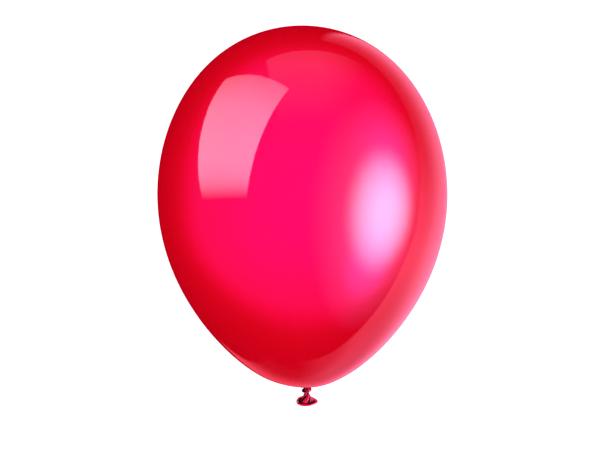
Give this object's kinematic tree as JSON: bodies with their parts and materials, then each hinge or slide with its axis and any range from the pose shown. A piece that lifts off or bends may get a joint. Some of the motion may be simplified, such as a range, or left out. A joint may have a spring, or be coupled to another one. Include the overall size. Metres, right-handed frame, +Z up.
{
  "type": "latex balloon",
  "caption": "Round pear-shaped latex balloon, inflated and tied in an overhand knot, with a short strand and a flared skirt ending in a rolled bead.",
  "frame": {"origin": "on the strand's axis just under the knot, where a ribbon is tied", "axes": "+Z up along the balloon's long axis, -Y towards the side on which the skirt hangs lower"},
  "size_m": [0.3, 0.3, 0.3948],
  "materials": {
    "stretched_film": "glossy translucent stretched latex",
    "gathered_film": "semi-gloss dense unstretched latex"
  },
  "bodies": {
    "bulb": {"envelope": "stretched_film"},
    "neck": {"neck_gather": "gathered_film"},
    "knot": {"knot_core": "gathered_film", "knot_loop": "gathered_film"},
    "upper_strand": {"strand_upper": "gathered_film"},
    "lower_strand": {"strand_lower": "gathered_film"},
    "tail": {"tail_skirt": "gathered_film", "rim_bead": "gathered_film"}
  },
  "joints": [
    {"name": "neck_nod", "type": "hinge", "parent": "bulb", "child": "neck", "pos_m": [0, 0, 0.0058], "axis": [1, 0, 0], "range_deg": [-8, 8], "stiffness_Nm_per_rad": 0.02},
    {"name": "neck_sway", "type": "hinge", "parent": "neck", "child": "knot", "pos_m": [0, 0, 0.0039], "axis": [0, 1, 0], "range_deg": [-8, 8], "stiffness_Nm_per_rad": 0.02},
    {"name": "tail_nod", "type": "hinge", "parent": "knot", "child": "upper_strand", "pos_m": [0, 0, 0], "axis": [1, 0, 0], "range_deg": [-28, 28], "stiffness_Nm_per_rad": 0.01},
    {"name": "tail_sway", "type": "hinge", "parent": "upper_strand", "child": "lower_strand", "pos_m": [0, 0, -0.0015], "axis": [0, 1, 0], "range_deg": [-28, 28], "stiffness_Nm_per_rad": 0.01},
    {"name": "tail_twist", "type": "hinge", "parent": "lower_strand", "child": "tail", "pos_m": [0, 0, -0.0029], "axis": [0, 0, 1], "range_deg": [-90, 90], "stiffness_Nm_per_rad": 0.004}
  ]
}
